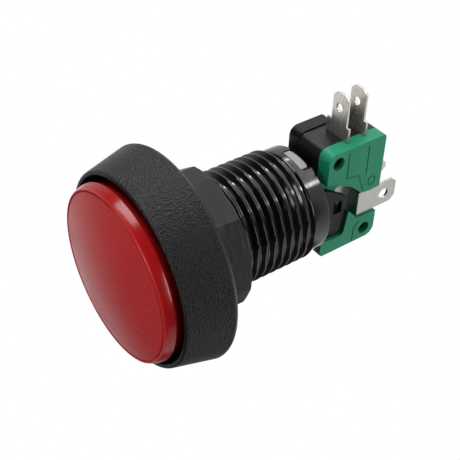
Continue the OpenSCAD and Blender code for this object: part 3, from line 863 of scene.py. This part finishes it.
def addCamera(s):
    data = bpy.data.cameras.new("photoCamera")
    data.lens = s["lens"]
    data.sensor_width = s["sensor"]
    data.clip_start = s["near"]
    data.clip_end = s["far"]
    obj = bpy.data.objects.new("photoCamera", data)
    bpy.context.scene.collection.objects.link(obj)
    right, down, forward = (Vector(s[k]) for k in ("right", "down", "forward"))
    turn = Matrix((right, -down, -forward)).transposed().to_4x4()
    obj.matrix_world = Matrix.Translation(Vector(s["location"]) * mm) @ turn
    bpy.context.scene.camera = obj


def addSoftbox(name, place, target, size, power):
    data = bpy.data.lights.new(name, "AREA")
    data.shape = "RECTANGLE"
    data.size, data.size_y = size
    data.energy = power
    obj = bpy.data.objects.new(name, data)
    bpy.context.scene.collection.objects.link(obj)
    aim = (Vector(target) - Vector(place)).to_track_quat("-Z", "Y")
    obj.matrix_world = Matrix.Translation(Vector(place)) @ aim.to_matrix().to_4x4()
    obj.visible_camera = False


# Place, target and size in metres, and power in watts
lightPlan = {
    "bezelBox": ((0.47, 0.15, 0.005), (0.0, 0.0, 0.0), (0.3, 0.26), 2.1),
    "ceilingBox": ((0.277, 0.0, -0.2), (0.0, 0.0, -0.025), (0.4, 0.08), 0.22),
    "overheadBox": ((0.22, 0.16, -0.17), (0.0, 0.0, -0.03), (0.03, 0.03), 0.05),
    "sideBox": ((0.218, -0.146, -0.196), (0.0096, -0.0078, -0.0305), (0.034, 0.036), 0.07),
    "frontBox": ((0.12, -0.08, 0.5), (0.0, 0.0, 0.0), (0.22, 0.22), 1.85),
    "nearBox": ((0.1, -0.48, -0.06), (0.0, 0.0, -0.04), (0.26, 0.14), 0.85),
    "lowBox": ((-0.38, -0.225, -0.085), (0.0, 0.0, 0.0), (0.34, 0.34), 0.26),
    "bladeCard": ((-0.0148, 0.0358, -0.0032), (0.02, -0.003, -0.042), (0.036, 0.036), 0.0038),
}

addCamera(cameraPlace)
for name, plan in lightPlan.items():
    addSoftbox(name, *plan)

floorPlan = {"size": 0.7, "height": -0.25, "patches": 300.0, "rough": 0.9,
             "low": (0.86, 0.86, 0.86), "high": (0.88, 0.88, 0.88)}


def makeFloor(s):
    # pale paper that keeps the shadow, and shows white to the camera, metal and glass
    deselectAll()
    bpy.ops.mesh.primitive_plane_add(size=s["size"], location=(0, 0, s["height"]))
    obj = bpy.context.object
    obj.name = "floor"
    material, tree, shader, vector = newMaterial("paleFloor")
    paper = addGroup(tree, mouldGrain, vector, Size=s["patches"])
    tree.links.new(mixColour(tree, paper.outputs["Patches"], s["low"], s["high"]),
                   shader.inputs["Base Color"])
    setInputs(shader, {"Roughness": s["rough"]})
    path = tree.nodes.new("ShaderNodeLightPath")
    seen = mathNode(tree, "ADD", path.outputs["Is Camera Ray"],
                    mathNode(tree, "ADD", path.outputs["Is Glossy Ray"],
                             path.outputs["Is Transmission Ray"]), clamp=True)
    glow = tree.nodes.new("ShaderNodeEmission")
    setInputs(glow, {"Strength": 1.0})
    mix = tree.nodes.new("ShaderNodeMixShader")
    tree.links.new(seen, mix.inputs["Fac"])
    tree.links.new(shader.outputs[0], mix.inputs[1])
    tree.links.new(glow.outputs[0], mix.inputs[2])
    tree.links.new(mix.outputs[0], tree.nodes["Material Output"].inputs["Surface"])
    obj.data.materials.append(material)


makeFloor(floorPlan)

# The room's light grows from dark to pale in the directions nearer to the axis
roomPlan = {"axis": (-0.2, 0.9, -0.39), "from": 0.4, "to": 0.85, "dark": 0.08, "pale": 0.7}


def makeWorld(s):
    # a room that is pale behind the object and dark behind the camera; the
    # background itself is plain white
    world = bpy.data.worlds.new("studio")
    world.use_nodes = True
    bpy.context.scene.world = world
    tree = world.node_tree
    coords = tree.nodes.new("ShaderNodeTexCoord")
    room = tree.nodes.new("ShaderNodeMapRange")
    room.interpolation_type = "SMOOTHSTEP"
    setInputs(room, {"From Min": s["from"], "From Max": s["to"], "To Min": s["dark"],
                     "To Max": s["pale"]})
    tree.links.new(dotNode(tree, coords.outputs["Generated"], s["axis"]), room.inputs["Value"])
    path = tree.nodes.new("ShaderNodeLightPath")
    seen = mathNode(tree, "ADD", path.outputs["Is Camera Ray"],
                    path.outputs["Is Transmission Ray"], clamp=True)
    back = tree.nodes["Background"]
    setInputs(back, {"Color": (1.0, 1.0, 1.0, 1.0)})
    tree.links.new(mathNode(tree, "MAXIMUM", seen, room.outputs["Result"]),
                   back.inputs["Strength"])


makeWorld(roomPlan)
bpy.context.scene.view_settings.view_transform = "Standard"
print("camera and lights set")
